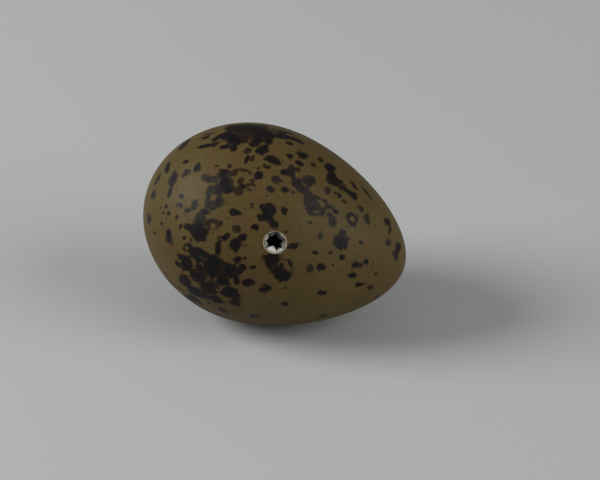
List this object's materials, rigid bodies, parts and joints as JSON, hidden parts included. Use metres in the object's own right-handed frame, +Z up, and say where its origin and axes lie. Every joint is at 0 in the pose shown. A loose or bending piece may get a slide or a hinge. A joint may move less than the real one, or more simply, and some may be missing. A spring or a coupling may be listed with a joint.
{
  "type": "blown bird egg",
  "caption": "Hollow pear-shaped bird's egg on its side: thin blotched shell, two membranes inside, and a drilled blow-hole with torn membrane tongues.",
  "frame": {"origin": "on the surface that the egg lies on, under the middle of its bounding box", "axes": "+Z up; the egg's long axis lies in the XZ plane with the small end towards +X and tipped down; the blow-hole faces -Y and a little up"},
  "size_m": [0.0414, 0.0312, 0.0315],
  "materials": {
    "eggshell": "dull sheen, olive-buff with dark brown and grey-purple blotches",
    "outer_membrane": "dry parchment, fibrous",
    "inner_membrane": "dry parchment, finely fibrous",
    "torn_membrane": "dry parchment, torn edges"
  },
  "bodies": {
    "root": {"eggshell": "eggshell", "outer_membrane": "outer_membrane", "inner_membrane": "inner_membrane", "membrane_flap_1": "torn_membrane", "membrane_flap_2": "torn_membrane", "membrane_flap_3": "torn_membrane", "membrane_flap_4": "torn_membrane", "membrane_flap_5": "torn_membrane", "membrane_flap_6": "torn_membrane", "membrane_flap_7": "torn_membrane"}
  },
  "joints": []
}
